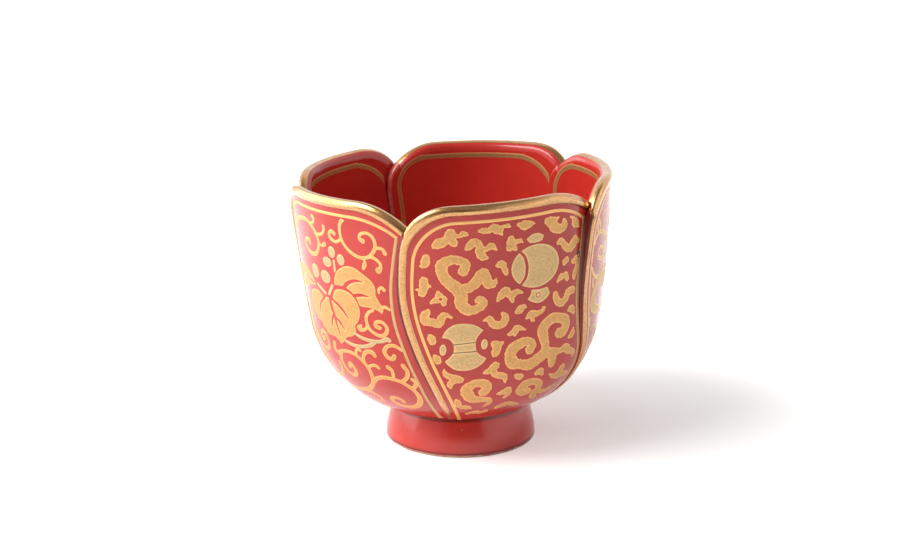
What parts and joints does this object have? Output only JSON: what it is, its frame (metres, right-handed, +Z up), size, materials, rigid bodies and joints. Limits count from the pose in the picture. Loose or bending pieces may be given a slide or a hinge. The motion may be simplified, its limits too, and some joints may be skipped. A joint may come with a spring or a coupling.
{
  "type": "sake cup",
  "caption": "Deep flower-shaped sake cup of lapped red-enamelled petals with gilt rolled edges, on a low foot ring; it holds a sip of sake and stands on a table.",
  "frame": {"origin": "centre of the foot ring's standing face, on the table", "axes": "+Z up; -Y towards the front petal, the side the picture shows; +X to the right"},
  "size_m": [0.0609, 0.0605, 0.0536],
  "materials": {
    "red_enamel": "glossy iron-red overglaze enamel on a fired clay petal, with painted gold ornament",
    "burnished_gilt": "burnished gold fired over the glaze of a rolled edge, rubbed and slightly worn",
    "foot_enamel": "plain glossy iron-red enamel, wiped bare at the standing edge"
  },
  "bodies": {
    "root": {"front_petal": "red_enamel", "right_petal": "red_enamel", "back_petal": "red_enamel", "back_left_petal": "red_enamel", "left_petal": "red_enamel", "front_gilt_roll": "burnished_gilt", "right_gilt_roll": "burnished_gilt", "back_gilt_roll": "burnished_gilt", "back_left_gilt_roll": "burnished_gilt", "left_gilt_roll": "burnished_gilt", "cup_floor": "red_enamel", "foot_ring": "foot_enamel"}
  },
  "joints": []
}
